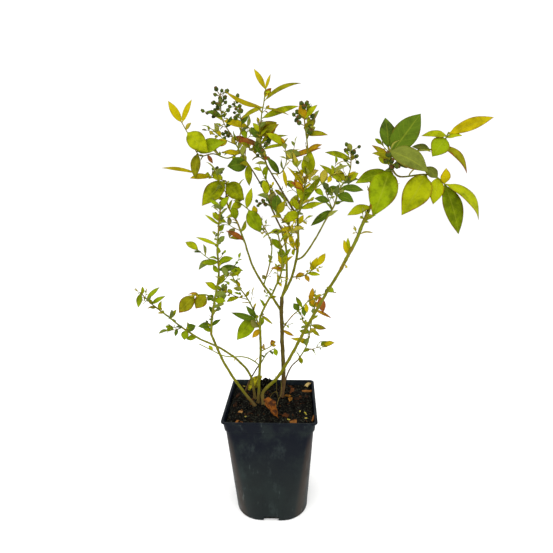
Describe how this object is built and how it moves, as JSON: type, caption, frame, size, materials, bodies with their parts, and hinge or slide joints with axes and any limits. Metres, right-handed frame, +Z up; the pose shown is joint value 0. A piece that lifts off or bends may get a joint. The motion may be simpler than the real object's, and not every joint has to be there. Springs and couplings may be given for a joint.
{
  "type": "potted blueberry bush",
  "caption": "Open, upright young blueberry bush with thin arching canes, yellow-green leaves and small unripe berries, in a square black nursery pot filled with compost.",
  "frame": {"origin": "centre of the pot's flat underside", "axes": "+Z up, X and Y square to the pot's walls, -Y towards the plant's front"},
  "size_m": [0.4157, 0.2418, 0.6095],
  "materials": {
    "pot": "satin black, a little dusty",
    "compost": "moist and crumbly",
    "dry_bark": "dry and matte",
    "brown_bark": "brown bark",
    "green_bark": "smooth olive bark",
    "foliage_green": "leaf green, a little waxy",
    "foliage_lime": "yellow-green leaf",
    "foliage_dark": "dark green leaf",
    "foliage_yellow": "yellow leaf",
    "foliage_rust": "rust-red leaf"
  },
  "bodies": {
    "root": {"pot": "pot", "compost": "compost", "fallen_leaf": "foliage_rust", "bark_chip": "dry_bark", "cane_centre": "brown_bark", "shoot_back": "brown_bark", "shoot_fine": "brown_bark", "bough_upper_left": "brown_bark", "bough_crossing": "brown_bark", "cane_left": "green_bark", "cane_low_left": "green_bark", "cane_centre_left": "green_bark", "cane_right": "green_bark", "bough_centre_left": "green_bark", "bough_centre_back": "green_bark", "bough_centre_right": "green_bark", "bough_back_right": "green_bark", "left_cane_low_spray": "foliage_green", "left_cane_middle_spray": "foliage_green", "low_left_end_spray": "foliage_green", "inner_left_spray": "foliage_green", "centre_left_spray": "foliage_green", "centre_bough_spray": "foliage_green", "middle_left_spray": "foliage_green", "rear_spray": "foliage_green", "front_centre_spray": "foliage_green", "upper_left_spray": "foliage_green", "right_centre_berry_spray": "foliage_green", "high_spray": "foliage_green", "right_lower_spray": "foliage_green", "right_upper_spray": "foliage_green", "left_cane_top_spray": "foliage_lime", "centre_left_top_spray": "foliage_lime", "thin_left_spray": "foliage_lime", "far_left_spray": "foliage_lime", "right_centre_spray": "foliage_lime", "back_right_berry_spray": "foliage_lime", "right_end_spray": "foliage_lime", "right_hanging_spray": "foliage_lime", "back_shoot_spray": "foliage_lime", "crossing_side_spray": "foliage_lime", "low_left_middle_spray": "foliage_dark", "heart_spray": "foliage_dark", "upper_left_berry_spray": "foliage_dark", "back_right_spray": "foliage_dark", "inner_right_spray": "foliage_dark", "fine_shoot_spray": "foliage_dark", "upper_middle_berry_spray": "foliage_dark", "left_hanging_spray": "foliage_yellow", "top_spray": "foliage_yellow", "right_cane_spray": "foliage_yellow", "yellow_side_spray": "foliage_yellow", "yellow_short_spray": "foliage_yellow", "bare_left_spray": "foliage_yellow", "small_centre_spray": "foliage_rust"}
  },
  "joints": []
}
